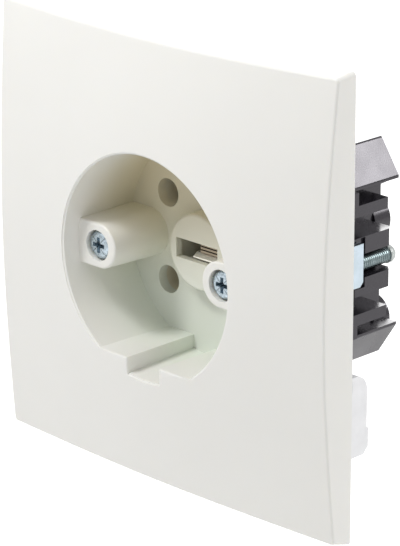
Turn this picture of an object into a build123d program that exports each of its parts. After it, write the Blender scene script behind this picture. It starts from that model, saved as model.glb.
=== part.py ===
from build123d import *
import os

# Flush-mounted five-pole socket outlet: a one-piece square cover with a keyed round well, a steel
# support frame, and a dark rear mechanism with two spreader claws. Millimetres, +Z up, front faces -Y.
# The origin is on the socket's axis in the plane of the wall, which is the back of the cover.

# Cover plate
cover_size = 84.0
cover_wall = 2.0
side_draft = 13.0
dome_top = 9.6
dome_bend_r = 14.0
dome_mid_r = cover_size / 2 - 1.0
dome_mid_depth = 5.75
dome_end_r = cover_size * 0.5 ** 0.5 + 0.6
dome_end_depth = 3.2
corner_round = 0.8
front_round = 0.5

# Well
well_rim_r = 20.7
well_floor_r = well_rim_r - 0.4
rim_round = 0.35
well_floor_y = 8.0
well_floor_wall = 2.0
well_wall = 1.2
shelf_z = well_rim_r - 3.4
key_half = 4.1

# Pin holes and centre boss
pin_x = 10.5
pin_z = 8.25
pin_hole_r = 2.65
centre_boss_r = 7.1
centre_boss_rise = 3.2
centre_boss_round = 0.6
earth_slot_length = 10.4
earth_slot_width = 3.7
earth_slot_lip = 1.4
earth_pocket_side = 0.6
earth_pocket_top = 1.2

# Screw bosses in the well
boss_face_y = -4.85
cover_screw_x = well_rim_r - 5.1
boss_x = cover_screw_x - 0.4
boss_face_r = 4.2
boss_root_r = 4.5
boss_draft_in = 0.2
boss_round = 0.4
head_clearance = 0.2
cover_head_r = 2.7
cover_head_h = 1.8
cover_head_sunk = 0.3
cover_shank_r = 1.5
shank_clearance = 0.3
cover_screw_length = 16.0

# Screw heads
recess_taper = 14.0

# Support frame
frame_inset = 6.5
frame_size = cover_size - 2 * frame_inset
frame_thick = 1.2
frame_corner_r = 4.0
frame_gap = 0.7
box_screw_spacing = 60.0
box_slot_length = 5.2
box_slot_width = 4.0
frame_screw_r = 1.25
frame_screw_head_r = 2.1
frame_screw_head_h = 1.3
frame_screw_length = 8.0
frame_screw_play = 0.2

# Contact carrier
collar_r = well_rim_r + 6.7
collar_depth = 12.0
side_x = well_rim_r + 3.7
well_gap = 0.4
joint_y = 18.0
sleeve_gap = 0.3

# Rear housing
block_back_y = 31.0
block_top_z = 20.6
block_shoulder_x = side_x - 4.4
block_side_z = 14.0
block_valley_x = side_x - 7.6
block_valley_z = 17.2
bay_z = 13.5
bay_core_x = side_x - 4.2
front_wall_back_y = 19.4
outer_rib_z = 9.0
outer_rib_top_z = 11.1
outer_rib_x = side_x + 1.1
outer_rib_back_y = 27.0
inner_rib_top_z = 5.4
inner_rib_x = side_x + 1.6
inner_rib_back_y = 27.9
rib_chamfer = 1.0
chamber_in_x = side_x - 14.4
chamber_out_x = side_x - 5.2
housing_round = 0.5

# Terminal towers on the back
tower_r = 4.0
tower_back_y = 33.6
tower_x = side_x - 7.4
tower_z = 14.3
earth_tower_x = side_x - 7.6
earth_tower_z = 4.4
tower_bore_r = 2.7
tower_chamfer = 0.5
terminal_lid = 1.5
terminal_wide = 4.4
terminal_high = 4.6
terminal_back_y = 28.0
terminal_fit = 0.2
terminal_round = 0.6
terminal_screw_r = 1.5
terminal_head_r = 2.4
terminal_head_h = 2.0
terminal_screw_length = 8.0

# Contacts
sleeve_r = 3.0
sleeve_bore_r = 2.4
sleeve_front_y = 14.0
sleeve_slit = 0.8
bar_thick = 0.9
bar_width = 5.0
strap_fit = 0.1
leaf_thick = 0.4
leaf_pitch = 0.64
leaf_middle_z = 0.46
leaf_front_y = 6.4
leaf_back_y = 14.5
leaf_left_x = -0.6
leaf_right_x = 4.8
leaf_gap = 0.2
spring_left_x = -1.8
spring_front_y = 5.9
spring_bend_y = 6.8
spring_tip_z = -1.35
spring_bend_z = -0.75
spring_z = -0.85

# Housing screws
housing_screw_z = 13.6
housing_screw_r = 1.5
housing_head_r = 2.7
housing_head_h = 2.0
housing_screw_length = 16.0

# Spreader claws
claw_thick = 1.0
claw_in_x = well_rim_r + 5.2
claw_top_z = 4.6
claw_bottom_z = -3.3
claw_back_y = 19.2
claw_chamfer = 0.8
claw_hook_gap = 0.3
claw_ear_half_z = 5.6
claw_fork_in_x = claw_in_x - 3.0
claw_fork_half_z = 3.5
claw_nut_y = 17.0
claw_nut_thick = 1.4
claw_nut_in_x = claw_in_x - 3.3
claw_nut_half_z = 1.8
claw_slot_fit = 0.3
claw_screw_x = claw_in_x - 1.6
claw_screw_play = 0.1
claw_screw_r = 1.45
claw_head_r = 1.8
claw_head_h = 1.6
claw_screw_end_y = 28.4
groove_half_z = 2.2
groove_in_x = side_x - 2.4
groove_back_y = 31.3
claw_recess_gap = 0.7
claw_recess_back_y = 20.6
cap_r = 1.7
cap_front_y = 27.8
cap_back_y = 29.6

# White retaining lug
lug_in_x = frame_size / 2 - 2.1
lug_out_x = frame_size / 2 + 3.3
lug_top_z = -13.1
lug_step_z = -23.2
lug_bottom_z = -27.9
lug_back_y = 7.4
lug_foot_back_y = 7.8
lug_front_y = -2.4
lug_round = 3.0
lug_soft = 1.2
lug_window_top_z = -13.6
lug_window_bottom_z = -16.0
lug_window_back_y = 3.6
lug_window_depth = 1.2

os.makedirs("parts", exist_ok=True)


def section(y):
    """Plane across the socket's axis at depth y, seen from the front."""
    return Plane.XZ.offset(-y)


def save(piece, name):
    """Label a finished piece and write it."""
    piece.part.label = name
    export_step(piece.part, "parts/" + name + ".step")


def cover_block(inset):
    """Drafted square block under the domed front, all faces but the back drawn in by inset."""
    with BuildPart() as block:
        with BuildSketch(section(0)):
            Rectangle(cover_size - 2 * inset, cover_size - 2 * inset)
        extrude(amount=dome_top, taper=side_draft)
        with BuildSketch(Plane.XY):
            with BuildLine():
                Polyline((dome_bend_r, inset - dome_top), (0, inset - dome_top), (0, 0), (dome_end_r, 0),
                         (dome_end_r, inset - dome_end_depth))
                ThreePointArc((dome_end_r, inset - dome_end_depth), (dome_mid_r, inset - dome_mid_depth),
                              (dome_bend_r, inset - dome_top))
            make_face()
        revolve(axis=Axis.Y, mode=Mode.INTERSECT)
    return block.part


def cross_recess(width, depth):
    """Cruciform driver recess that narrows inwards, its mouth at the origin and its depth along +Y."""
    wing = width * 0.26
    with BuildPart() as recess:
        with BuildSketch(Plane.XZ):
            Rectangle(width, wing)
            Rectangle(wing, width)
        extrude(amount=-depth, taper=recess_taper)
    return recess.part


def pan_screw(head_r, head_h, shank_r, length):
    """Pan-head screw: the underside of its head at the origin, its shank along +Y."""
    with BuildPart() as screw:
        with BuildSketch(Plane.XY):
            with BuildLine():
                Polyline((0, -head_h), (head_r * 0.6, -head_h))
                ThreePointArc((head_r * 0.6, -head_h), (head_r * 0.9, -head_h * 0.82),
                              (head_r, -head_h * 0.45))
                Polyline((head_r, -head_h * 0.45), (head_r, 0), (shank_r, 0),
                         (shank_r, length - shank_r * 0.5), (shank_r * 0.5, length), (0, length),
                         (0, -head_h))
            make_face()
        revolve(axis=Axis.Y)
        with Locations((0, -head_h, 0)):
            add(cross_recess(head_r * 1.08, head_h * 0.75), mode=Mode.SUBTRACT)
    return screw.part


def cheese_screw(head_r, head_h, shank_r, length):
    """Slotted cheese-head screw: the underside of its head at the origin, its shank along +Y."""
    with BuildPart() as screw:
        with BuildSketch(section(0)):
            Circle(head_r)
        extrude(amount=head_h)
        chamfer(screw.edges().group_by(Axis.Y)[0], head_h * 0.15)
        with BuildSketch(section(-head_h)):
            Rectangle(head_r * 2, head_r * 0.32)
        extrude(amount=-head_h * 0.45, mode=Mode.SUBTRACT)
        with BuildSketch(section(0)):
            Circle(shank_r)
        extrude(amount=-length)
        chamfer(screw.edges().group_by(Axis.Y)[-1], shank_r * 0.3)
    return screw.part


def dome_y(radius):
    """Depth of the domed front at this distance from the axis, beyond its flat middle."""
    arc = ThreePointArc((dome_bend_r, -dome_top), (dome_mid_r, -dome_mid_depth),
                        (dome_end_r, -dome_end_depth))
    drop = (arc.radius ** 2 - (radius - arc.arc_center.X) ** 2) ** 0.5
    return arc.arc_center.Y + (drop if arc.arc_center.Y < 0 else -drop)


# Screw boss of the well, on the right, before it is taken from the well's space
boss_root_x = boss_x - boss_draft_in
boss_end_x = well_rim_r + 3
with BuildPart() as screw_boss:
    for depth, radius, start_x in (
        (well_floor_y + 0.5, boss_root_r, boss_root_x),
        (boss_face_y, boss_face_r, boss_x),
    ):
        with BuildSketch(section(depth)):
            with Locations(((start_x + boss_end_x) / 2, 0)):
                SlotCenterToCenter(boss_end_x - start_x, radius * 2)
    loft()
    fillet(screw_boss.edges().group_by(Axis.Y)[0], boss_round)

# Space of the well, as the mould's core leaves it, its rim rounded where it meets the dome
rim_y = dome_y(well_rim_r)
shelf_front_y = dome_y(shelf_z + key_half / 2)
shelf_back_z = well_rim_r + 1
rim_out_r = well_rim_r + rim_round
mouth_y = -dome_top - 2
with BuildPart() as well_space:
    with BuildSketch(Plane.XY):
        with BuildLine():
            Polyline((0, well_floor_y), (well_floor_r, well_floor_y), (well_rim_r, rim_y + rim_round))
            RadiusArc((well_rim_r, rim_y + rim_round), (rim_out_r, rim_y), rim_round)
            Polyline((rim_out_r, rim_y), (rim_out_r, mouth_y), (0, mouth_y), (0, well_floor_y))
        make_face()
    revolve(axis=Axis.Y)
    for side in (-1, 1):
        with BuildPart(mode=Mode.SUBTRACT) as shelf:
            with BuildSketch(section(well_floor_y)):
                with Locations((side * (key_half + well_rim_r) / 2, -(shelf_z + shelf_back_z) / 2)):
                    Rectangle(well_rim_r - key_half, shelf_back_z - shelf_z)
            extrude(amount=well_floor_y - shelf_front_y)
            fillet(shelf.faces().sort_by(Axis.Y)[0].edges(), rim_round)
    add(screw_boss.part, mode=Mode.SUBTRACT)
    add(mirror(screw_boss.part, about=Plane.YZ, mode=Mode.PRIVATE), mode=Mode.SUBTRACT)
    centre_face_y = well_floor_y - centre_boss_rise
    with BuildSketch(Plane.XY):
        with BuildLine():
            Polyline((centre_boss_r - centre_boss_round, centre_face_y), (0, centre_face_y),
                     (0, well_floor_y + 1), (centre_boss_r, well_floor_y + 1),
                     (centre_boss_r, centre_face_y + centre_boss_round))
            RadiusArc((centre_boss_r, centre_face_y + centre_boss_round),
                      (centre_boss_r - centre_boss_round, centre_face_y), centre_boss_round)
        make_face()
    revolve(axis=Axis.Y, mode=Mode.SUBTRACT)

# Cover plate
well_back_y = well_floor_y + well_floor_wall
lining_front_y = cover_wall - dome_top
lining_back_r = well_floor_r + well_wall
lining_front_r = well_rim_r + well_wall
head_seat_y = boss_face_y + cover_head_sunk + cover_head_h
with BuildPart() as cover_plate:
    add(cover_block(0))
    corner_edges = cover_plate.edges().filter_by(lambda edge: abs(edge.center().X) > cover_size / 2 - 3
                                                 and abs(edge.center().Z) > cover_size / 2 - 3)
    fillet(corner_edges, corner_round)
    outline_edges = cover_plate.edges().filter_by(lambda edge: edge.center().Y < -0.75 * dome_end_depth
                                                  and max(abs(edge.center().X), abs(edge.center().Z))
                                                  > cover_size / 2 - 5)
    fillet(outline_edges, front_round)
    add(cover_block(cover_wall), mode=Mode.SUBTRACT)
    with BuildSketch(Plane.XY):
        with BuildLine():
            Polyline((0, well_back_y), (lining_back_r, well_back_y), (lining_front_r, lining_front_y),
                     (0, lining_front_y), (0, well_back_y))
        make_face()
    revolve(axis=Axis.Y)
    add(well_space.part, mode=Mode.SUBTRACT)
    with BuildSketch(section(well_back_y)):
        with GridLocations(2 * pin_x, 2 * pin_z, 2, 2):
            Circle(pin_hole_r)
        Rectangle(earth_slot_length, earth_slot_width)
    extrude(amount=well_floor_wall + centre_boss_rise, mode=Mode.SUBTRACT)
    with BuildSketch(section(well_back_y)):
        Rectangle(earth_slot_length + 2 * earth_pocket_side, earth_slot_width + 2 * earth_pocket_top)
    extrude(amount=well_back_y - centre_face_y - earth_slot_lip, mode=Mode.SUBTRACT)
    with BuildSketch(section(head_seat_y)):
        with GridLocations(2 * cover_screw_x, 0, 2, 1):
            Circle(cover_head_r + head_clearance)
    extrude(amount=head_seat_y - boss_face_y, mode=Mode.SUBTRACT)
    with BuildSketch(section(well_back_y)):
        with GridLocations(2 * cover_screw_x, 0, 2, 1):
            Circle(cover_shank_r + shank_clearance)
    extrude(amount=well_back_y - head_seat_y, mode=Mode.SUBTRACT)
save(cover_plate, "cover_plate")

# Cover screws
cover_screw = pan_screw(cover_head_r, cover_head_h, cover_shank_r, cover_screw_length)
for side, name in ((-1, "cover_screw_left"), (1, "cover_screw_right")):
    with BuildPart() as piece:
        with Locations((side * cover_screw_x, head_seat_y, 0)):
            add(cover_screw)
    save(piece, name)

# Support frame
claw_slot_in_x = claw_in_x - 2 * claw_slot_fit
claw_slot_out_x = claw_in_x + claw_thick + 2 * claw_slot_fit
frame_bore_r = lining_front_r + frame_gap
frame_screw_at = (lining_front_r + well_gap + collar_r) / 2 * 0.5 ** 0.5
claw_middle_z = (claw_top_z + claw_bottom_z) / 2
claw_width = claw_top_z - claw_bottom_z
with BuildPart() as support_frame:
    with BuildSketch(section(0)):
        RectangleRounded(frame_size, frame_size, frame_corner_r)
        Circle(frame_bore_r, mode=Mode.SUBTRACT)
        with GridLocations(0, box_screw_spacing, 1, 2):
            SlotOverall(box_slot_length, box_slot_width, rotation=90, mode=Mode.SUBTRACT)
        with GridLocations(2 * frame_screw_at, 2 * frame_screw_at, 2, 2):
            Circle(frame_screw_r + frame_screw_play, mode=Mode.SUBTRACT)
        for side in (-1, 1):
            with Locations((side * (claw_slot_in_x + claw_slot_out_x) / 2, claw_middle_z)):
                Rectangle(claw_slot_out_x - claw_slot_in_x, claw_width + 2 * claw_slot_fit,
                          mode=Mode.SUBTRACT)
        Rectangle(2 * claw_slot_in_x, 2 * groove_half_z, mode=Mode.SUBTRACT)
    extrude(amount=frame_thick)
save(support_frame, "support_frame")

# Frame screws
frame_screw = cheese_screw(frame_screw_head_r, frame_screw_head_h, frame_screw_r, frame_screw_length)
frame_screw_places = (
    ("frame_screw_top_left", -1, 1),
    ("frame_screw_top_right", 1, 1),
    ("frame_screw_bottom_left", -1, -1),
    ("frame_screw_bottom_right", 1, -1),
)
for name, side, level in frame_screw_places:
    with BuildPart() as piece:
        with Locations((side * frame_screw_at, -frame_thick, level * frame_screw_at)):
            add(frame_screw)
    save(piece, name)

# Contact carrier
octagon = (
    (side_x, block_side_z), (block_shoulder_x, block_top_z), (-block_shoulder_x, block_top_z),
    (-side_x, block_side_z), (-side_x, -block_side_z), (-block_shoulder_x, -block_top_z),
    (block_shoulder_x, -block_top_z), (side_x, -block_side_z),
)
carrier_screw_end_y = head_seat_y + cover_screw_length
sleeve_hole_r = sleeve_r + sleeve_gap
with BuildPart() as contact_carrier:
    with BuildSketch(section(collar_depth)):
        Circle(collar_r)
        Rectangle(2 * side_x, 2 * collar_r, mode=Mode.INTERSECT)
    extrude(amount=collar_depth)
    with BuildSketch(section(joint_y)):
        Polygon(*octagon, align=None)
    extrude(amount=joint_y - collar_depth)
    fillet(contact_carrier.edges().filter_by(Axis.Y), housing_round)
    with BuildSketch(section(well_back_y)):
        Circle(lining_front_r + well_gap)
    extrude(amount=well_back_y, mode=Mode.SUBTRACT)
    for side in (-1, 1):
        with BuildSketch(section(joint_y)):
            with Locations((side * (groove_in_x + collar_r) / 2, 0)):
                Rectangle(collar_r - groove_in_x, 2 * groove_half_z)
        extrude(amount=joint_y, mode=Mode.SUBTRACT)
    with BuildSketch(section(joint_y)):
        with GridLocations(2 * pin_x, 2 * pin_z, 2, 2):
            Circle(sleeve_hole_r)
    extrude(amount=joint_y - sleeve_front_y, mode=Mode.SUBTRACT)
    with BuildSketch(section(sleeve_front_y)):
        with GridLocations(2 * pin_x, 2 * pin_z, 2, 2):
            Circle(pin_hole_r)
    extrude(amount=sleeve_front_y - well_back_y, mode=Mode.SUBTRACT)
    with BuildSketch(section(joint_y)):
        Rectangle(earth_slot_length + 2 * earth_pocket_side, earth_slot_width + 2 * earth_pocket_top)
    extrude(amount=joint_y - well_back_y, mode=Mode.SUBTRACT)
    with BuildSketch(section(carrier_screw_end_y)):
        with GridLocations(2 * cover_screw_x, 0, 2, 1):
            Circle(cover_shank_r)
    extrude(amount=carrier_screw_end_y - well_back_y, mode=Mode.SUBTRACT)
    with BuildSketch(section(frame_screw_length - frame_thick)):
        with GridLocations(2 * frame_screw_at, 2 * frame_screw_at, 2, 2):
            Circle(frame_screw_r)
    extrude(amount=frame_screw_length - frame_thick, mode=Mode.SUBTRACT)
    housing_seat_y = block_back_y - housing_head_h
    housing_screw_end_y = housing_seat_y - housing_screw_length
    with BuildSketch(section(joint_y)):
        with GridLocations(0, 2 * housing_screw_z, 1, 2):
            Circle(housing_screw_r)
    extrude(amount=joint_y - housing_screw_end_y, mode=Mode.SUBTRACT)
save(contact_carrier, "contact_carrier")

# Rear housing
terminals = (
    ("top_left", -tower_x, tower_z),
    ("top_right", tower_x, tower_z),
    ("bottom_left", -tower_x, -tower_z),
    ("bottom_right", tower_x, -tower_z),
    ("earth", earth_tower_x, earth_tower_z),
)
winged_octagon = (
    (side_x, block_side_z), (block_shoulder_x, block_top_z), (block_valley_x, block_valley_z),
    (-block_valley_x, block_valley_z), (-block_shoulder_x, block_top_z), (-side_x, block_side_z),
    (-side_x, -block_side_z), (-block_shoulder_x, -block_top_z), (-block_valley_x, -block_valley_z),
    (block_valley_x, -block_valley_z), (block_shoulder_x, -block_top_z), (side_x, -block_side_z),
)
screw_head_y = terminal_back_y + terminal_lid
bay_out_x = inner_rib_x + 2
tower_places = [(x, z) for name, x, z in terminals]
strap_depth = bar_thick + strap_fit
with BuildPart() as rear_housing:
    with BuildSketch(section(block_back_y)):
        Polygon(*winged_octagon, align=None)
    extrude(amount=block_back_y - joint_y)
    fillet(rear_housing.edges().filter_by(Axis.Y), housing_round)
    for side in (-1, 1):
        with BuildSketch(section(block_back_y)):
            with Locations((side * (bay_core_x + bay_out_x) / 2, 0)):
                Rectangle(bay_out_x - bay_core_x, 2 * bay_z)
        extrude(amount=block_back_y - joint_y, mode=Mode.SUBTRACT)
        for level in (-1, 1):
            outer_x = side * (chamber_out_x + outer_rib_x) / 2
            with BuildSketch(section(front_wall_back_y)):
                with Locations((outer_x, level * (outer_rib_z + bay_z) / 2)):
                    Rectangle(outer_rib_x - chamber_out_x, bay_z - outer_rib_z)
            extrude(amount=front_wall_back_y - joint_y)
            rib_z = (outer_rib_z + outer_rib_top_z) / 2
            with BuildSketch(section(outer_rib_back_y)):
                with Locations((outer_x, level * rib_z)):
                    Rectangle(outer_rib_x - chamber_out_x, outer_rib_top_z - outer_rib_z)
            extrude(amount=outer_rib_back_y - joint_y)
            rib_z = (groove_half_z + inner_rib_top_z) / 2
            with BuildSketch(Plane.XY.offset(level * rib_z)):
                with BuildLine():
                    Polyline((side * chamber_out_x, joint_y), (side * inner_rib_x, joint_y),
                             (side * inner_rib_x, inner_rib_back_y - rib_chamfer),
                             (side * (inner_rib_x - rib_chamfer), inner_rib_back_y),
                             (side * chamber_out_x, inner_rib_back_y), close=True)
                make_face()
            extrude(amount=(inner_rib_top_z - groove_half_z) / 2, both=True)
            chamber_x = side * (chamber_in_x + chamber_out_x) / 2
            with BuildSketch(section(block_back_y)):
                with Locations((chamber_x, level * (inner_rib_top_z + bay_z) / 2)):
                    Rectangle(chamber_out_x - chamber_in_x, bay_z - inner_rib_top_z)
            extrude(amount=block_back_y - front_wall_back_y, mode=Mode.SUBTRACT)
        with BuildSketch(section(groove_back_y)):
            with Locations((side * (chamber_out_x + groove_in_x) / 2, 0)):
                Rectangle(groove_in_x - chamber_out_x, 2 * groove_half_z)
        extrude(amount=groove_back_y - joint_y)
        with BuildSketch(section(claw_recess_back_y)):
            with Locations((side * (outer_rib_x + bay_out_x) / 2, claw_middle_z)):
                Rectangle(bay_out_x - outer_rib_x, claw_width + 2 * claw_recess_gap)
        extrude(amount=claw_recess_back_y - joint_y, mode=Mode.SUBTRACT)
    with BuildSketch(section(tower_back_y)):
        with Locations(*tower_places):
            Circle(tower_r)
    extrude(amount=tower_back_y - terminal_back_y - 1)
    chamfer(rear_housing.edges().group_by(Axis.Y)[-1], tower_chamfer)
    with BuildSketch(section(tower_back_y)):
        with Locations(*tower_places):
            Circle(tower_bore_r)
    extrude(amount=tower_back_y - screw_head_y, mode=Mode.SUBTRACT)
    with BuildSketch(section(screw_head_y)):
        with Locations(*tower_places):
            Circle(terminal_screw_r + 0.2)
    extrude(amount=screw_head_y - terminal_back_y, mode=Mode.SUBTRACT)
    with BuildSketch(section(terminal_back_y)):
        with Locations(*tower_places):
            Rectangle(terminal_wide + 2 * terminal_fit, terminal_high + 2 * terminal_fit)
    extrude(amount=terminal_back_y - joint_y, mode=Mode.SUBTRACT)
    for name, x, z in terminals:
        from_x = 0 if name == "earth" else (pin_x if x > 0 else -pin_x)
        from_z = 0 if name == "earth" else (pin_z if z > 0 else -pin_z)
        run = Vector(x - from_x, z - from_z)
        with BuildSketch(section(joint_y + strap_depth)):
            with Locations(Location(((x + from_x) / 2, (z + from_z) / 2, 0), run.get_angle(Vector(1, 0))
                                    * (1 if run.Y > 0 else -1))):
                SlotCenterToCenter(run.length, bar_width + 2 * terminal_fit)
        extrude(amount=strap_depth, mode=Mode.SUBTRACT)
    with BuildSketch(section(block_back_y)):
        with GridLocations(0, 2 * housing_screw_z, 1, 2):
            Circle(housing_head_r + 0.2)
    extrude(amount=housing_head_h, mode=Mode.SUBTRACT)
    with BuildSketch(section(housing_seat_y)):
        with GridLocations(0, 2 * housing_screw_z, 1, 2):
            Circle(housing_screw_r + 0.15)
    extrude(amount=housing_seat_y - joint_y, mode=Mode.SUBTRACT)
save(rear_housing, "rear_housing")

# Housing screws, driven from the back
housing_screw = pan_screw(housing_head_r, housing_head_h, housing_screw_r, housing_screw_length)
for level, name in ((1, "housing_screw_top"), (-1, "housing_screw_bottom")):
    with BuildPart() as piece:
        with Locations(Location((0, housing_seat_y, level * housing_screw_z), (0, 0, 180))):
            add(housing_screw)
    save(piece, name)

# Terminal blocks, their screws and the bars that lead to them
terminal_screw = cheese_screw(terminal_head_r, terminal_head_h, terminal_screw_r, terminal_screw_length)
bar_front_y = joint_y
bar_back_y = bar_front_y + bar_thick
for name, x, z in terminals:
    with BuildPart() as block:
        with BuildSketch(section(terminal_back_y - terminal_fit)):
            with Locations((x, z)):
                RectangleRounded(terminal_wide, terminal_high, terminal_round)
                Circle(terminal_screw_r, mode=Mode.SUBTRACT)
        extrude(amount=terminal_back_y - terminal_fit - bar_back_y)
    save(block, "terminal_block_" + name)
    with BuildPart() as piece:
        with Locations(Location((x, screw_head_y, z), (0, 0, 180))):
            add(terminal_screw)
    save(piece, "terminal_screw_" + name)
    from_x = 0 if name == "earth" else (pin_x if x > 0 else -pin_x)
    from_z = 0 if name == "earth" else (pin_z if z > 0 else -pin_z)
    run = Vector(x - from_x, z - from_z)
    with BuildPart() as bar:
        with BuildSketch(section(bar_back_y)):
            with Locations(Location(((x + from_x) / 2, (z + from_z) / 2, 0), run.get_angle(Vector(1, 0))
                                    * (1 if run.Y > 0 else -1))):
                SlotCenterToCenter(run.length, bar_width)
        extrude(amount=bar_thick)
    save(bar, "earth_strap" if name == "earth" else "contact_bar_" + name)

# Contact sleeves, slit along one side
for name, x, z in terminals[:-1]:
    sleeve_x = pin_x if x > 0 else -pin_x
    sleeve_z = pin_z if z > 0 else -pin_z
    with BuildPart() as sleeve:
        with BuildSketch(section(bar_front_y)):
            with Locations((sleeve_x, sleeve_z)):
                Circle(sleeve_r)
                Circle(sleeve_bore_r, mode=Mode.SUBTRACT)
            with Locations((sleeve_x, sleeve_z + sleeve_r)):
                Rectangle(sleeve_slit, sleeve_r, mode=Mode.SUBTRACT)
        extrude(amount=bar_front_y - sleeve_front_y)
    save(sleeve, "contact_sleeve_" + name)

# Earth contact: three leaves on a common foot, and the spring leaf under them
with BuildPart() as earth_contact:
    for index in range(3):
        with BuildSketch(section(leaf_back_y)):
            with Locations(((leaf_left_x + leaf_right_x) / 2, leaf_pitch * (1 - index) + leaf_middle_z)):
                Rectangle(leaf_right_x - leaf_left_x, leaf_thick)
        extrude(amount=leaf_back_y - leaf_front_y)
    with BuildSketch(section(bar_front_y)):
        with Locations(((leaf_left_x + leaf_right_x) / 2, leaf_middle_z)):
            Rectangle(leaf_right_x - leaf_left_x, 2 * leaf_pitch + leaf_thick)
    extrude(amount=bar_front_y - leaf_back_y)
save(earth_contact, "earth_contact")

with BuildPart() as earth_spring:
    with BuildSketch(Plane.YZ.offset(spring_left_x)):
        with BuildLine():
            spring_line = Polyline((spring_front_y, spring_tip_z), (spring_bend_y, spring_bend_z),
                                   (bar_front_y - leaf_thick / 2, spring_z))
            offset(spring_line, amount=leaf_thick / 2)
        make_face()
    extrude(amount=leaf_right_x - leaf_gap - spring_left_x)
save(earth_spring, "earth_spring")

# Spreader claws with their screws and end caps
claw_out_x = claw_in_x + claw_thick
hook_back_y = -frame_thick - claw_hook_gap
hook_front_y = hook_back_y - claw_thick
claw_screw_length = claw_screw_end_y - hook_front_y
claw_hole_r = claw_screw_r + claw_screw_play
with BuildPart() as claw:
    with BuildSketch(Plane.XY.offset(claw_middle_z)):
        with BuildLine():
            Polyline((claw_in_x, hook_front_y), (claw_out_x, hook_front_y),
                     (claw_out_x, claw_back_y), (claw_in_x, claw_back_y), close=True)
        make_face()
    extrude(amount=claw_width / 2, both=True)
    chamfer(claw.edges().filter_by(Axis.X).group_by(Axis.Y)[-1].sort_by(Axis.Z)[0], claw_chamfer)
    with BuildSketch(section(hook_back_y)):
        with Locations(((claw_fork_in_x + claw_in_x) / 2, 0)):
            Rectangle(claw_in_x - claw_fork_in_x, 2 * claw_fork_half_z)
        with Locations((claw_in_x + claw_thick / 2, 0)):
            Rectangle(claw_thick, 2 * claw_ear_half_z)
        with Locations((claw_screw_x, 0)):
            Circle(claw_hole_r, mode=Mode.SUBTRACT)
        with Locations(((claw_fork_in_x - 1 + claw_screw_x) / 2, 0)):
            Rectangle(claw_screw_x - claw_fork_in_x + 1, 2 * claw_hole_r, mode=Mode.SUBTRACT)
    extrude(amount=claw_thick)
    with BuildSketch(section(hook_back_y)):
        with Locations((claw_screw_x, 0)):
            Circle(claw_hole_r)
    extrude(amount=claw_thick, mode=Mode.SUBTRACT)
    with BuildSketch(section(claw_nut_y + claw_nut_thick)):
        with Locations(((claw_nut_in_x + claw_in_x) / 2, 0)):
            Rectangle(claw_in_x - claw_nut_in_x, 2 * claw_nut_half_z)
    extrude(amount=claw_nut_thick)
    with BuildSketch(section(claw_nut_y + claw_nut_thick)):
        with Locations((claw_screw_x, 0)):
            Circle(claw_screw_r)
    extrude(amount=claw_nut_thick, mode=Mode.SUBTRACT)

with BuildPart() as claw_screw:
    with Locations((claw_screw_x, hook_front_y, 0)):
        add(cheese_screw(claw_head_r, claw_head_h, claw_screw_r, claw_screw_length))

with BuildPart() as claw_cap:
    with BuildSketch(section(cap_back_y)):
        with Locations((claw_screw_x, 0)):
            Circle(cap_r)
    extrude(amount=cap_back_y - cap_front_y)
    fillet(claw_cap.edges().group_by(Axis.Y)[-1], cap_r * 0.8)
    with BuildSketch(section(claw_screw_end_y)):
        with Locations((claw_screw_x, 0)):
            Circle(claw_screw_r)
    extrude(amount=claw_screw_end_y - cap_front_y, mode=Mode.SUBTRACT)

for form, name in ((claw, "claw"), (claw_screw, "claw_screw"), (claw_cap, "claw_cap")):
    save(form, name + "_right")
    with BuildPart() as twin:
        add(mirror(form.part, about=Plane.YZ, mode=Mode.PRIVATE))
    save(twin, name + "_left")

# Retaining lug, gripping the right edge of the frame
with BuildPart() as retaining_lug:
    with BuildSketch(Plane.YZ.offset(lug_in_x)):
        with BuildLine():
            Polyline((lug_front_y, lug_top_z), (lug_back_y - lug_round, lug_top_z))
            RadiusArc((lug_back_y - lug_round, lug_top_z), (lug_back_y, lug_top_z - lug_round), lug_round)
            Polyline((lug_back_y, lug_top_z - lug_round), (lug_back_y, lug_step_z),
                     (lug_foot_back_y, lug_step_z), (lug_foot_back_y, lug_bottom_z + lug_soft),
                     (lug_foot_back_y - lug_soft, lug_bottom_z), (lug_front_y, lug_bottom_z),
                     (lug_front_y, lug_top_z))
        make_face()
    extrude(amount=lug_out_x - lug_in_x)
    with BuildSketch(section(0)):
        with Locations(((lug_in_x - 1 + frame_size / 2) / 2, (lug_top_z + lug_bottom_z) / 2)):
            Rectangle(frame_size / 2 + 1 - lug_in_x, lug_top_z - lug_bottom_z)
    extrude(amount=frame_thick, mode=Mode.SUBTRACT)
    window_y = (frame_thick + lug_window_back_y) / 2
    with BuildSketch(Plane.YZ.offset(lug_out_x)):
        with Locations((window_y, (lug_window_top_z + lug_window_bottom_z) / 2)):
            Rectangle(lug_window_back_y - frame_thick, lug_window_top_z - lug_window_bottom_z)
    extrude(amount=-lug_window_depth, mode=Mode.SUBTRACT)
save(retaining_lug, "retaining_lug")
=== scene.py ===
import math

import bpy
from bpy.props import FloatProperty, FloatVectorProperty, IntProperty, PointerProperty
from bpy.types import Operator, Panel, PropertyGroup
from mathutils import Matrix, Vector


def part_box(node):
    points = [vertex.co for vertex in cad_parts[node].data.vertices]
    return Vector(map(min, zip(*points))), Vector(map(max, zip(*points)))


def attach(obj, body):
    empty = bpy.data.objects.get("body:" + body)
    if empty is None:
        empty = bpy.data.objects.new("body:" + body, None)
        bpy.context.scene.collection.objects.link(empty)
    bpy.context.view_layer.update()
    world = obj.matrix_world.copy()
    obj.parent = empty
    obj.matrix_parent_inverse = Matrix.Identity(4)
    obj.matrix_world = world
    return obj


bl_info = {
    "name": "Flush socket outlet",
    "version": (1, 0, 0),
    "blender": (4, 5, 0),
    "location": "View3D > Sidebar > Socket",
    "description": "Finishes and stages a five-pole flush socket outlet on its packed frame",
    "category": "Object",
}

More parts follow.
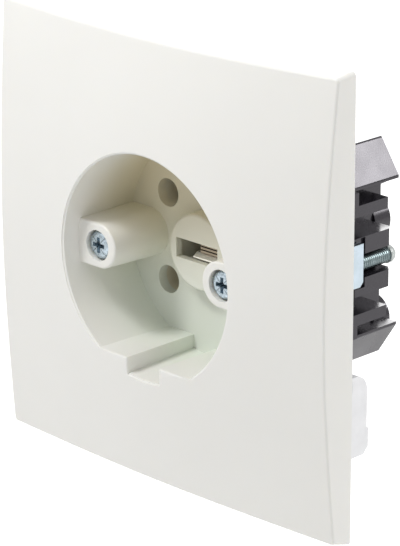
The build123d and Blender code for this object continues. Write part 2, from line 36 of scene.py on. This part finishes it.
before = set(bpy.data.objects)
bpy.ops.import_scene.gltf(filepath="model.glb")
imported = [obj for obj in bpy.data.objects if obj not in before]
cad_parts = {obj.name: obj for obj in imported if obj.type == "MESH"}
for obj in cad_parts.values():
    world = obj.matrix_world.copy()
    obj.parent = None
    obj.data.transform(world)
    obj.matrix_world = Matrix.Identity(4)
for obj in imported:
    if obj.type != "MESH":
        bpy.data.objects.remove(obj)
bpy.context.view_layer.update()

MM = 0.001
SENSOR_WIDTH = 36.0
NEAREST_SEEN = 10 * MM
FLOOR_REACH = 6.0
SECTION_CORNERS = 3
PLASTIC_IOR = 1.53

# The well's painted shade and painted light start a little outside the well's wall, and are full a little
# inside it.
PAINTED_WELL_START = 0.4 * MM
PAINTED_WELL_FULL = 0.2 * MM

# Patterns of the finishes: their sizes, and how deep they make the skin uneven.
SPECK_SIZE = 0.8 * MM
FLOW_SIZE = 9 * MM
WAX_SIZE = 3 * MM
LINE_SIZE = 0.15 * MM
DRAWN_ALONG_Y = (1.0, 0.08, 1.0)
CLOUDS_PER_METRE = 60.0
THIN_SKIN = 0.05 * MM
THICK_SKIN = 0.1 * MM
SCORE_TONE = 0.35

# Most values of a noise lie in this range, and this hue leaves a colour as it is.
NOISE_LOW = 0.3
NOISE_HIGH = 0.7
NEUTRAL_HUE = 0.5

# Each lamp: where it stands, where it looks and how wide it is, in metres, and the setting of its power.
LAMPS = {
    "key_upper_left": ((-0.08, -0.16, 0.25), (-0.01, 0, 0.01), 0.08, "key_power"),
    "back_left": ((-0.66, 0.66, 0.30), (0.02, 0.02, 0), 0.48, "left_power"),
    "back_right": ((0.53, 0.62, 0.44), (0.02, 0.02, 0), 0.28, "right_power"),
    "fill_right": ((0.60, -0.08, 0.10), (0.02, 0.01, 0), 0.3, "fill_power"),
}


def linear(code):
    """Linear RGBA of an sRGB hex colour such as #f2f1ec."""
    channels = [int(code[i:i + 2], 16) / 255 for i in (1, 3, 5)]
    lit = [c / 12.92 if c <= 0.04045 else ((c + 0.055) / 1.055) ** 2.4 for c in channels]
    return (*lit, 1.0)


class SocketSizes(PropertyGroup):
    """Sizes that the dressed pieces add to the frame."""

    thread_pitch: FloatProperty(
        name="Thread pitch", description="Distance from one turn of the claw screws' thread to the next",
        default=0.5 * MM, unit="LENGTH")
    thread_height: FloatProperty(
        name="Thread height", description="How far the thread stands out of the claw screw's shank",
        default=0.13 * MM, unit="LENGTH")
    thread_reach: FloatProperty(
        name="Thread reach", description="Distance from the claw screw's tip to the thread's first turn",
        default=24.0 * MM, unit="LENGTH")
    shank_radius: FloatProperty(
        name="Shank radius", description="Radius of the claw screw under its thread",
        default=1.45 * MM, unit="LENGTH")
    screw_offset: FloatProperty(
        name="Cover screw offset", description="Distance of each cover screw from the socket's axis",
        default=15.6 * MM, unit="LENGTH")
    mark_width: FloatProperty(
        name="Mark width", description="Width of the four fine marks between the arms of the cross recess",
        default=0.14 * MM, unit="LENGTH")
    grain: FloatProperty(
        name="Moulding grain", description="Size of the fine grain on the moulded faces",
        default=0.35 * MM, unit="LENGTH")
    well_radius: FloatProperty(
        name="Well radius", description="Radius of the round well at its mouth",
        default=20.7 * MM, unit="LENGTH")
    # Over this height above and below the axis, the painted shade above turns to the painted light below.
    painted_shade_turn: FloatProperty(
        name="Well fade", description="Height over and under the axis in which the well's tint turns",
        default=14.0 * MM, unit="LENGTH")
    # This depth is also the span over which the painted shade grows into the well.
    well_depth: FloatProperty(
        name="Well depth", description="Depth of the well's floor behind the wall plane",
        default=8.0 * MM, unit="LENGTH")
    thread_sides: IntProperty(
        name="Thread sides", description="Points on one turn of the thread", default=28, min=8)


class SocketColours(PropertyGroup):
    """Colours of the finishes."""

    cover: FloatVectorProperty(
        name="Cover", description="White moulded cover", subtype="COLOR", size=4,
        default=linear("#efeeea"))
    # Painted shade: the warm tan of the shaded upper half of the well.
    well_painted_shade_above: FloatVectorProperty(
        name="Well, upper half", subtype="COLOR", size=4, default=linear("#e3dabf"),
        description="Cover plastic in the upper half of the well, where it looks warmer")
    # Painted light: the cool green-white of the lit lower half of the well.
    well_painted_light_below: FloatVectorProperty(
        name="Well, lower half", subtype="COLOR", size=4, default=linear("#e4e9df"),
        description="Cover plastic in the lower half of the well, where it looks cooler")
    carrier: FloatVectorProperty(
        name="Carrier", description="Cream thermoset of the contact carrier", subtype="COLOR", size=4,
        default=linear("#e4dfca"))
    housing: FloatVectorProperty(
        name="Housing", description="Dark thermoset of the rear housing", subtype="COLOR", size=4,
        default=linear("#232126"))
    zinc: FloatVectorProperty(
        name="Zinc plate", description="Bluish passivated zinc on the steel pieces", subtype="COLOR",
        size=4, default=linear("#b1bdc6"))
    # Painted reflection and painted shade: darker and greener than the zinc plate, for the dark housing
    # mirrored in the claw screws.
    claw_screw: FloatVectorProperty(
        name="Claw screw zinc", subtype="COLOR", size=4, default=linear("#808d8f"),
        description="Oily grey of the claw screws and their thread")
    screw: FloatVectorProperty(
        name="Screw zinc", description="Scuffed zinc on the heads of the cover screws", subtype="COLOR",
        size=4, default=linear("#aab7bf"))
    copper: FloatVectorProperty(
        name="Contact copper", description="Copper alloy of the earth leaves", subtype="COLOR", size=4,
        default=linear("#908472"))
    brass: FloatVectorProperty(
        name="Terminal brass", description="Brass of the sleeves and terminals", subtype="COLOR", size=4,
        default=linear("#cfb16a"))
    nickel: FloatVectorProperty(
        name="Spring nickel", description="Bright nickel on the spring leaf", subtype="COLOR", size=4,
        default=linear("#f4f1ea"))
    nylon: FloatVectorProperty(
        name="Lug nylon", description="White nylon of the retaining lug", subtype="COLOR", size=4,
        default=linear("#ececee"))
    cap: FloatVectorProperty(
        name="Cap nylon", description="Natural nylon of the screw caps", subtype="COLOR", size=4,
        default=linear("#e9efec"))
    paper: FloatVectorProperty(
        name="Floor paper", description="White paper of the studio floor", subtype="COLOR", size=4,
        default=linear("#f6f6f5"))


class SocketLight(PropertyGroup):
    """Camera and studio light."""

    focal_length: FloatProperty(
        name="Focal length", description="Lens of the studio camera, in millimetres on a 36 mm sensor",
        default=187.85)
    azimuth: FloatProperty(
        name="Azimuth", description="Side from which the camera looks", default=math.radians(45.38),
        subtype="ANGLE")
    elevation: FloatProperty(
        name="Elevation", description="Height angle of the camera", default=math.radians(19.02),
        subtype="ANGLE")
    roll: FloatProperty(
        name="Roll", description="Turn of the camera about its line of sight", default=math.radians(-0.3),
        subtype="ANGLE")
    distance: FloatProperty(
        name="Distance", description="Distance from the camera to its target", default=500.1 * MM,
        unit="LENGTH")
    target: FloatVectorProperty(
        name="Target", description="Point that the camera looks at", size=3, subtype="XYZ",
        default=(5.683 * MM, 0.0, -1.226 * MM))
    world_level: FloatProperty(
        name="World level", description="Strength of the even light from all round", default=0.455)
    key_power: FloatProperty(
        name="Key power", description="Power of the near lamp at the upper left", default=0.55,
        unit="POWER")
    left_power: FloatProperty(
        name="Back left power", default=3.2, unit="POWER",
        description="Power of the wide lamp behind, mirrored in the faces that look up")
    right_power: FloatProperty(
        name="Back right power", default=3.0, unit="POWER",
        description="Power of the lamp behind, mirrored in the slopes of the housing")
    fill_power: FloatProperty(
        name="Fill power", description="Power of the weak lamp at the right, on the cover's side face",
        default=0.35, unit="POWER")
    floor_lift: FloatProperty(
        name="Floor lift", description="Glow that the camera and mirrored rays see on the white floor",
        default=0.58)
    floor_drop: FloatProperty(
        name="Floor drop", description="Height of the socket's axis over the floor", default=120 * MM,
        unit="LENGTH")


def add_node(tree, kind, inputs=None, **settings):
    """Add one node, set its properties, and fill or link its inputs by name or number."""
    node = tree.nodes.new(kind)
    for name, value in settings.items():
        setattr(node, name, value)
    for key, value in (inputs or {}).items():
        if isinstance(value, bpy.types.NodeSocket):
            tree.links.new(value, node.inputs[key])
        else:
            node.inputs[key].default_value = value
    return node


def compute(tree, operation, *values):
    """The result of one operation on these values."""
    node = add_node(tree, "ShaderNodeMath", dict(enumerate(values)), operation=operation)
    return node.outputs["Value"]


def remap(tree, value, low=0.0, high=1.0, start=0.0, end=1.0, **settings):
    """Turn a value that runs from start to end into one that runs from low to high."""
    node = add_node(tree, "ShaderNodeMapRange", {
        "Value": value, "From Min": start, "From Max": end, "To Min": low, "To Max": high}, **settings)
    return node.outputs["Result"]


def blend(tree, factor, first, second):
    """A colour that goes from the first to the second as the factor goes from zero to one."""
    node = add_node(tree, "ShaderNodeMix", {"Factor": factor, 6: first, 7: second}, data_type="RGBA")
    return node.outputs[2]


def noise(tree, vector, scale, detail, roughness=0.5):
    """Cloudy noise over a vector."""
    node = add_node(tree, "ShaderNodeTexNoise", {
        "Vector": vector, "Scale": scale, "Detail": detail, "Roughness": roughness})
    return node.outputs["Fac"]


def paint(tree, shader, colour, tone, hue=NEUTRAL_HUE):
    """Give the shader this colour, made lighter or darker by the tone and turned by the hue."""
    shade = add_node(tree, "ShaderNodeHueSaturation", {"Hue": hue, "Value": tone, "Color": colour})
    tree.links.new(shade.outputs["Color"], shader.inputs["Base Color"])


def polish(tree, shader, gloss):
    """Let the shader's roughness follow this value."""
    tree.links.new(gloss, shader.inputs["Roughness"])


def raise_skin(tree, shader, height, strength, depth):
    """Make the shader's surface slightly uneven with this height."""
    bump = add_node(tree, "ShaderNodeBump", {"Height": height, "Strength": strength, "Distance": depth})
    tree.links.new(bump.outputs["Normal"], shader.inputs["Normal"])


def new_material(name, inputs):
    """A material with one Principled shader that has these inputs, and the object's own coordinates."""
    material = bpy.data.materials.new(name)
    material.use_nodes = True
    tree = material.node_tree
    tree.nodes.clear()
    shader = add_node(tree, "ShaderNodeBsdfPrincipled", inputs)
    add_node(tree, "ShaderNodeOutputMaterial", {"Surface": shader.outputs["BSDF"]})
    where = add_node(tree, "ShaderNodeTexCoord").outputs["Object"]
    return material, tree, shader, where


def dress(names, material):
    """Give these CAD nodes the material in every slot."""
    for name in names:
        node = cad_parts[name]
        node.data.materials.clear()
        node.data.materials.append(material)


def nodes_named(*starts):
    """Names of the CAD nodes that start with one of these words."""
    found = [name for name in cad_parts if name.startswith(starts)]
    if not found:
        raise RuntimeError("the frame has no node named like " + ", ".join(starts))
    return found


def paint_well_shade_and_light(tree, where, sizes, colours):
    """The cover's colour: white outside, and deep in the well painted shade, a warm tan in the upper half,
    and painted light, a cool green-white, in the lower half.
    """
    axes = add_node(tree, "ShaderNodeSeparateXYZ", {"Vector": where})
    flat = add_node(tree, "ShaderNodeCombineXYZ", {"X": axes.outputs["X"], "Z": axes.outputs["Z"]})
    radius = add_node(tree, "ShaderNodeVectorMath", {0: flat.outputs["Vector"]}, operation="LENGTH")
    inside = remap(tree, radius.outputs["Value"], start=sizes.well_radius + PAINTED_WELL_START,
                   end=sizes.well_radius - PAINTED_WELL_FULL)
    # Painted shade that grows with depth into the well.
    deep = remap(tree, axes.outputs["Y"], start=-sizes.well_depth, end=sizes.well_depth,
                 interpolation_type="SMOOTHSTEP")
    # Painted shade in the upper half of the well, painted light in the lower half.
    height = remap(tree, axes.outputs["Z"], start=-sizes.painted_shade_turn, end=sizes.painted_shade_turn,
                   interpolation_type="SMOOTHSTEP")
    tint = blend(tree, height, colours.well_painted_light_below, colours.well_painted_shade_above)
    return blend(tree, compute(tree, "MULTIPLY", inside, deep), colours.cover, tint)


def moulded_white(name, sizes, colour_of):
    """Moulded plastic with a satin skin: a pale colour from colour_of, soft gloss and a faint grain; on
    the carrier the colour is even, on the cover it holds painted shade and painted light in the well.
    """
    material, tree, shader, where = new_material(name, {
        "IOR": PLASTIC_IOR, "Subsurface Weight": 0.12, "Subsurface Radius": (1.0, 0.9, 0.7),
        "Subsurface Scale": 1.2 * MM})
    clouds = noise(tree, where, scale=CLOUDS_PER_METRE, detail=2.0)
    tone = remap(tree, clouds, low=0.985, high=1.0, start=NOISE_LOW, end=NOISE_HIGH)
    paint(tree, shader, colour_of(tree, where), tone)
    polish(tree, shader, remap(tree, clouds, low=0.30, high=0.38))
    grain = noise(tree, where, scale=1 / sizes.grain, detail=3.0, roughness=0.6)
    raise_skin(tree, shader, grain, strength=0.03, depth=THIN_SKIN)
    return material


def moulded_thermoset(name, colour):
    """Pressed phenolic: near black, slightly violet, with an uneven gloss and a trace of filler specks."""
    material, tree, shader, where = new_material(name, {
        "IOR": 1.48, "Specular Tint": (0.97, 0.93, 1.0, 1.0)})
    specks = noise(tree, where, scale=1 / SPECK_SIZE, detail=4.0, roughness=0.7)
    flow = noise(tree, where, scale=1 / FLOW_SIZE, detail=2.0)
    paint(tree, shader, colour, remap(tree, specks, low=0.86, high=1.22, start=0.35, end=NOISE_HIGH))
    polish(tree, shader, remap(tree, flow, low=0.14, high=0.32, start=NOISE_LOW, end=NOISE_HIGH))
    raise_skin(tree, shader, specks, strength=0.05, depth=THICK_SKIN)
    return material


def mark_screw_heads(material, sizes):
    """Add the four fine marks that lie between the arms of a cross recess, as dark scores."""
    tree = material.node_tree
    shader = next(node for node in tree.nodes if node.type == "BSDF_PRINCIPLED")
    where = add_node(tree, "ShaderNodeTexCoord").outputs["Object"]
    axes = add_node(tree, "ShaderNodeSeparateXYZ", {"Vector": where})
    from_middle = compute(tree, "ABSOLUTE", axes.outputs["X"])
    from_screw = compute(tree, "SUBTRACT", from_middle, sizes.screw_offset)
    across = compute(tree, "ABSOLUTE", from_screw)
    high = compute(tree, "ABSOLUTE", axes.outputs["Z"])
    diagonal = compute(tree, "ABSOLUTE", compute(tree, "SUBTRACT", across, high))
    mark = remap(tree, diagonal, low=SCORE_TONE, high=1.0, start=sizes.mark_width * 0.5,
                 end=sizes.mark_width)
    colour = shader.inputs["Base Color"].links[0].from_socket
    paint(tree, shader, colour, mark)


def plated_metal(name, colour, rough, cloud_size, drift, contrast=0.08):
    """Plated or bare metal: cloudy tint from its bath, fine drawing lines, and uneven polish."""
    material, tree, shader, where = new_material(name, {"Metallic": 1.0})
    clouds = noise(tree, where, scale=1 / cloud_size, detail=3.0, roughness=0.6)
    tone = remap(tree, clouds, low=1 - contrast, high=1 + contrast, start=NOISE_LOW, end=NOISE_HIGH)
    hue = remap(tree, clouds, low=NEUTRAL_HUE - drift, high=NEUTRAL_HUE + drift)
    paint(tree, shader, colour, tone, hue)
    drawn = add_node(tree, "ShaderNodeMapping", {"Vector": where, "Scale": DRAWN_ALONG_Y})
    lines = noise(tree, drawn.outputs["Vector"], scale=1 / LINE_SIZE, detail=2.0)
    polish(tree, shader, remap(tree, lines, low=rough[0], high=rough[1]))
    raise_skin(tree, shader, lines, strength=0.06, depth=THIN_SKIN)
    return material


def moulded_nylon(name, colour, through, rough):
    """Moulded polyamide: milky, with a soft waxy gloss, and light may pass through a share of it."""
    material, tree, shader, where = new_material(name, {
        "Roughness": rough, "IOR": PLASTIC_IOR, "Transmission Weight": through,
        "Subsurface Weight": 0.3, "Subsurface Radius": (1.0, 1.0, 1.0), "Subsurface Scale": 1.0 * MM})
    clouds = noise(tree, where, scale=1 / WAX_SIZE, detail=2.0)
    paint(tree, shader, colour, remap(tree, clouds, low=0.95, high=1.02, start=NOISE_LOW, end=NOISE_HIGH))
    raise_skin(tree, shader, clouds, strength=0.1, depth=THICK_SKIN)
    return material


class SOCKET_OT_cover(Operator):
    """Finish the cover plate"""

    bl_idname = "socket.cover"
    bl_label = "Cover plate"

    def execute(self, context):
        # Injection-moulded ABS: a satin white that takes soft highlights, with painted shade and painted
        # light deep in the well.
        sizes, colours = context.scene.socket_sizes, context.scene.socket_colours
        white = moulded_white("abs_moulded_satin_white", sizes,
                              lambda tree, where: paint_well_shade_and_light(tree, where, sizes, colours))
        dress(["cover_plate"], white)
        return {"FINISHED"}


class SOCKET_OT_mechanism(Operator):
    """Finish the contact carrier and the rear housing"""

    bl_idname = "socket.mechanism"
    bl_label = "Carrier and housing"

    def execute(self, context):
        sizes, colours = context.scene.socket_sizes, context.scene.socket_colours
        # Pressed phenolic: near black from the front, pale violet where its slopes mirror the light.
        dress(["rear_housing"], moulded_thermoset("phenolic_pressed_dark", colours.housing))
        # Pressed urea in the cream tone of the well: pale and satin down the pin holes and the earth slot.
        urea = moulded_white("urea_pressed_cream", sizes, lambda tree, where: colours.carrier)
        dress(["contact_carrier"], urea)
        return {"FINISHED"}


class SOCKET_OT_metal(Operator):
    """Finish the frame, screws, claws and contacts"""

    bl_idname = "socket.metal"
    bl_label = "Metal pieces"

    def execute(self, context):
        sizes, colours = context.scene.socket_sizes, context.scene.socket_colours
        # Electroplated zinc with blue passivation: a cool silver with faint rainbow clouds.
        zinc = plated_metal("zinc_plated_blue_passivated", colours.zinc, rough=(0.22, 0.40),
                            cloud_size=2.5 * MM, drift=0.02)
        dress(nodes_named("support_frame", "claw_left", "claw_right", "frame_screw", "housing_screw",
                          "terminal_screw"), zinc)
        # Plated steel of the claw screws in a darker, greener grey than the zinc elsewhere: painted
        # reflection of the dark housing and painted shade of the groove that they lie in.
        reflection_darkened_zinc = plated_metal("zinc_plated_oiled", colours.claw_screw, rough=(0.20, 0.40),
                             cloud_size=1.5 * MM, drift=0.02, contrast=0.2)
        dress(nodes_named("claw_screw"), reflection_darkened_zinc)
        # The same plate on the cover screws, handled and scuffed, so that it glints in patches.
        heads = plated_metal("zinc_plated_scuffed", colours.screw, rough=(0.16, 0.42),
                             cloud_size=0.5 * MM, drift=0.03, contrast=0.35)
        mark_screw_heads(heads, sizes)
        dress(nodes_named("cover_screw"), heads)
        # Rolled copper alloy strip: warm, semi-bright, its tone drifting to brown.
        copper = plated_metal("copper_alloy_rolled", colours.copper, rough=(0.25, 0.42),
                              cloud_size=3 * MM, drift=0.01)
        dress(nodes_named("earth_contact", "earth_strap"), copper)
        # Turned and milled brass, left bare.
        brass = plated_metal("brass_machined", colours.brass, rough=(0.24, 0.38),
                             cloud_size=4 * MM, drift=0.008)
        dress(nodes_named("contact_sleeve", "contact_bar", "terminal_block"), brass)
        # Nickel-plated spring steel, pale and satin, so that it stays bright deep in the slot.
        nickel = plated_metal("nickel_plated_spring", colours.nickel, rough=(0.32, 0.46),
                              cloud_size=4 * MM, drift=0.0)
        dress(nodes_named("earth_spring"), nickel)
        return {"FINISHED"}


class SOCKET_OT_nylon(Operator):
    """Finish the retaining lug and the screw caps"""

    bl_idname = "socket.nylon"
    bl_label = "Nylon pieces"

    def execute(self, context):
        colours = context.scene.socket_colours
        # Moulded polyamide: a milky white lug, and clearer caps that let the screw's end show through.
        lug = moulded_nylon("polyamide_white", colours.nylon, through=0.0, rough=0.42)
        dress(["retaining_lug"], lug)
        cap = moulded_nylon("polyamide_natural", colours.cap, through=0.35, rough=0.3)
        dress(nodes_named("claw_cap"), cap)
        return {"FINISHED"}


def thread_tree(sizes):
    """Geometry Nodes: a helical ridge of triangular section, from named sizes."""
    tree = bpy.data.node_groups.new("screw_thread", "GeometryNodeTree")
    inputs = {}
    for name, kind, value in (
        ("Shank Radius", "NodeSocketFloat", sizes.shank_radius),
        ("Pitch", "NodeSocketFloat", sizes.thread_pitch),
        ("Height", "NodeSocketFloat", sizes.thread_height),
        ("Turns", "NodeSocketFloat", None),
        ("Sides", "NodeSocketInt", sizes.thread_sides),
        ("Finish", "NodeSocketMaterial", None),
    ):
        socket = tree.interface.new_socket(name, in_out="INPUT", socket_type=kind)
        if value is not None:
            socket.default_value = value
        inputs[name] = socket.identifier
    tree.interface.new_socket("Geometry", in_out="OUTPUT", socket_type="NodeSocketGeometry")
    given = add_node(tree, "NodeGroupInput")
    rise = compute(tree, "MULTIPLY", given.outputs["Pitch"], given.outputs["Turns"])
    helix = add_node(tree, "GeometryNodeCurveSpiral", {
        "Resolution": given.outputs["Sides"], "Rotations": given.outputs["Turns"],
        "Start Radius": given.outputs["Shank Radius"], "End Radius": given.outputs["Shank Radius"],
        "Height": rise})
    upright = add_node(tree, "GeometryNodeSetCurveNormal", {"Curve": helix.outputs["Curve"]}, mode="Z_UP")
    section = add_node(tree, "GeometryNodeCurvePrimitiveCircle", {
        "Resolution": SECTION_CORNERS, "Radius": given.outputs["Height"]})
    ridge = add_node(tree, "GeometryNodeCurveToMesh", {
        "Curve": upright.outputs["Curve"], "Profile Curve": section.outputs["Curve"], "Fill Caps": True})
    real = add_node(tree, "GeometryNodeRealizeInstances", {"Geometry": ridge.outputs["Mesh"]})
    finish = add_node(tree, "GeometryNodeSetMaterial", {
        "Geometry": real.outputs["Geometry"], "Material": given.outputs["Finish"]})
    add_node(tree, "NodeGroupOutput", {"Geometry": finish.outputs["Geometry"]})
    return tree, inputs


class SOCKET_OT_threads(Operator):
    """Add the thread on the free length of both claw screws"""

    bl_idname = "socket.threads"
    bl_label = "Claw screw threads"

    def execute(self, context):
        sizes = context.scene.socket_sizes
        # The threads take the claw screws' finish, with its painted reflection.
        finish = bpy.data.materials["zinc_plated_oiled"]
        tree, inputs = thread_tree(sizes)
        for side in ("left", "right"):
            low, high = (Vector(corner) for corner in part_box("claw_screw_" + side))
            cap_low = Vector(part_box("claw_cap_" + side)[0])
            axis_x = (low.x + high.x) / 2
            start_y = high.y - sizes.thread_reach
            length = cap_low.y - start_y
            host_name = "thread_host_" + side
            host = bpy.data.objects.new(host_name, bpy.data.meshes.new(host_name))
            context.scene.collection.objects.link(host)
            modifier = host.modifiers.new("thread", "NODES")
            modifier.node_group = tree
            modifier[inputs["Turns"]] = length / sizes.thread_pitch
            modifier[inputs["Finish"]] = finish
            context.view_layer.update()
            evaluated = host.evaluated_get(context.evaluated_depsgraph_get())
            mesh = bpy.data.meshes.new_from_object(evaluated)
            if not mesh.polygons:
                raise RuntimeError("the thread came out empty")
            # The helix rises along Z, and the screw lies along Y; the swap turns the faces inside out.
            for vertex in mesh.vertices:
                x, y, z = vertex.co
                vertex.co = (axis_x + x, start_y + z, y)
            mesh.flip_normals()
            piece = bpy.data.objects.new("claw_thread_" + side, mesh)
            context.scene.collection.objects.link(piece)
            bpy.data.objects.remove(host)
            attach(piece, "claw_" + side)
        return {"FINISHED"}


def studio_camera(scene, light):
    """The camera, at its angle and distance from the target."""
    back = Vector((math.sin(light.azimuth) * math.cos(light.elevation),
                   -math.cos(light.azimuth) * math.cos(light.elevation),
                   math.sin(light.elevation)))
    data = bpy.data.cameras.new("studio_camera")
    data.sensor_width = SENSOR_WIDTH
    data.lens = light.focal_length
    data.clip_start = NEAREST_SEEN
    camera = bpy.data.objects.new("studio_camera", data)
    camera.location = Vector(light.target) + back * light.distance
    camera.rotation_euler = (-back).to_track_quat("-Z", "Y").to_euler()
    camera.rotation_euler.rotate_axis("Z", light.roll)
    scene.collection.objects.link(camera)
    scene.camera = camera


def seen_rays(tree):
    """One for camera, mirrored and transmitted rays, and zero for the rays that light the object."""
    ray = add_node(tree, "ShaderNodeLightPath")
    seen = compute(tree, "MAXIMUM", ray.outputs["Is Camera Ray"], ray.outputs["Is Glossy Ray"])
    return compute(tree, "MAXIMUM", seen, ray.outputs["Is Transmission Ray"])


def studio_floor(scene, light, colours):
    """A wide floor of white paper, which also glows for the rays that are seen."""
    floor_mesh = bpy.data.meshes.new("studio_floor")
    corners = [(x * FLOOR_REACH, y * FLOOR_REACH, -light.floor_drop)
               for x, y in ((-1, -1), (1, -1), (1, 1), (-1, 1))]
    floor_mesh.from_pydata(corners, [], [(0, 1, 2, 3)])
    floor = bpy.data.objects.new("studio_floor", floor_mesh)
    scene.collection.objects.link(floor)
    paper = bpy.data.materials.new("paper_white_studio")
    paper.use_nodes = True
    tree = paper.node_tree
    tree.nodes.clear()
    dull = add_node(tree, "ShaderNodeBsdfDiffuse", {"Color": colours.paper})
    lift = compute(tree, "MULTIPLY", seen_rays(tree), light.floor_lift)
    glow = add_node(tree, "ShaderNodeEmission", {"Strength": lift})
    both = add_node(tree, "ShaderNodeAddShader", {0: dull.outputs["BSDF"], 1: glow.outputs["Emission"]})
    add_node(tree, "ShaderNodeOutputMaterial", {"Surface": both.outputs["Shader"]})
    floor_mesh.materials.append(paper)


def studio_world(scene, light):
    """A white background for the rays that are seen, and an even, weaker light for all others."""
    world = bpy.data.worlds.new("studio_world")
    world.use_nodes = True
    tree = world.node_tree
    tree.nodes.clear()
    level = remap(tree, seen_rays(tree), low=light.world_level)
    sky = add_node(tree, "ShaderNodeBackground", {"Color": linear("#ffffff"), "Strength": level})
    add_node(tree, "ShaderNodeOutputWorld", {"Surface": sky.outputs["Background"]})
    scene.world = world


def area_lamp(scene, name, place, aim, width, power):
    """One soft square lamp that looks at a point."""
    light = bpy.data.lights.new(name, "AREA")
    light.size = width
    light.energy = power
    lamp = bpy.data.objects.new(name, light)
    lamp.location = place
    lamp.rotation_euler = (Vector(aim) - Vector(place)).to_track_quat("-Z", "Y").to_euler()
    scene.collection.objects.link(lamp)


class SOCKET_OT_stage(Operator):
    """Set the camera, the floor, the lamps and the background"""

    bl_idname = "socket.stage"
    bl_label = "Stage"

    def execute(self, context):
        scene = context.scene
        light = scene.socket_light
        scene.view_settings.view_transform = "Standard"
        studio_camera(scene, light)
        studio_floor(scene, light, scene.socket_colours)
        studio_world(scene, light)
        for name, (place, aim, width, power) in LAMPS.items():
            area_lamp(scene, name, place, aim, width, getattr(light, power))
        return {"FINISHED"}


class SOCKET_PT_panel(Panel):
    """Sidebar panel with the socket's operators and settings"""

    bl_idname = "SOCKET_PT_panel"
    bl_label = "Socket outlet"
    bl_space_type = "VIEW_3D"
    bl_region_type = "UI"
    bl_category = "Socket"

    def draw(self, context):
        layout = self.layout
        for operator in PIECES:
            layout.operator(operator.bl_idname)
        scene = context.scene
        for group in (scene.socket_sizes, scene.socket_colours, scene.socket_light):
            box = layout.box()
            for name in group.__annotations__:
                box.prop(group, name)


GROUPS = (SocketSizes, SocketColours, SocketLight)
PIECES = (SOCKET_OT_cover, SOCKET_OT_mechanism, SOCKET_OT_metal, SOCKET_OT_nylon, SOCKET_OT_threads,
          SOCKET_OT_stage)


def register():
    for group in (*GROUPS, *PIECES, SOCKET_PT_panel):
        bpy.utils.register_class(group)
    bpy.types.Scene.socket_sizes = PointerProperty(type=SocketSizes)
    bpy.types.Scene.socket_colours = PointerProperty(type=SocketColours)
    bpy.types.Scene.socket_light = PointerProperty(type=SocketLight)


def unregister():
    del bpy.types.Scene.socket_light
    del bpy.types.Scene.socket_colours
    del bpy.types.Scene.socket_sizes
    for group in reversed((*GROUPS, *PIECES, SOCKET_PT_panel)):
        bpy.utils.unregister_class(group)


def main():
    """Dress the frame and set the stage."""
    register()
    for name in ("cover", "mechanism", "metal", "nylon", "threads", "stage"):
        getattr(bpy.ops.socket, name)()


if __name__ == "__main__":
    main()
